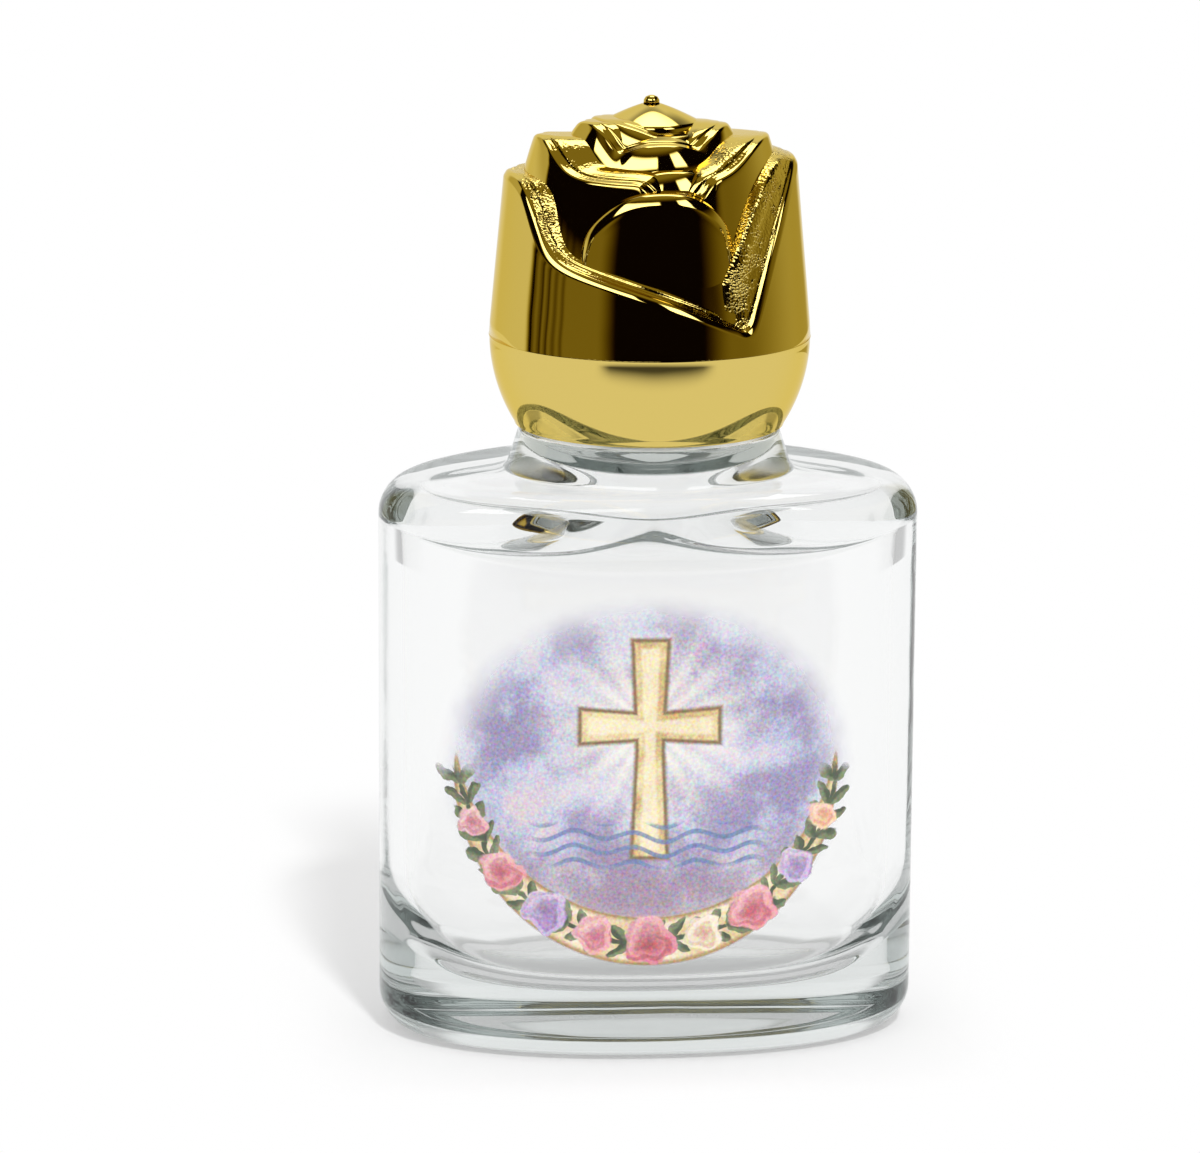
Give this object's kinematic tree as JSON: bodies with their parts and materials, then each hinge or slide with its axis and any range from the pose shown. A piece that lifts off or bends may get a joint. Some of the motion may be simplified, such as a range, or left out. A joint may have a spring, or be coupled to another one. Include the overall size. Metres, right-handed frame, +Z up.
{
  "type": "holy water bottle",
  "caption": "Small oval clear-glass bottle with a printed front film and a gold screw cap moulded as a rose.",
  "frame": {"origin": "centre of the base, on the surface that the bottle stands on", "axes": "+Z up along the neck, +X along the bottle's width, -Y out of the front with the print"},
  "size_m": [0.042, 0.0252, 0.0737],
  "materials": {
    "clear_glass": "clear polished glass",
    "printed_film": "printed clear film",
    "gold_plating": "metallised gold, mirror polish",
    "white_plastic": "natural moulded plastic",
    "foam_seal": "soft foam disc"
  },
  "bodies": {
    "bottle": {"glass_bottle": "clear_glass", "front_decal": "printed_film"},
    "seal": {"sealing_wad": "foam_seal"},
    "cap": {"rose_cap": "gold_plating", "inner_cap": "white_plastic"}
  },
  "joints": [
    {"name": "cap_lift", "type": "slide", "parent": "bottle", "child": "seal", "axis": [0, 0, 1], "range_m": [0, 0.0138]},
    {"name": "cap_turn", "type": "hinge", "parent": "seal", "child": "cap", "pos_m": [0, 0, 0.055], "axis": [0, 0, 1], "range_deg": [0, 2340]}
  ],
  "couplings": [
    {"joint": "cap_lift", "follows": "cap_turn", "m_per_rad": 0.00033693}
  ]
}
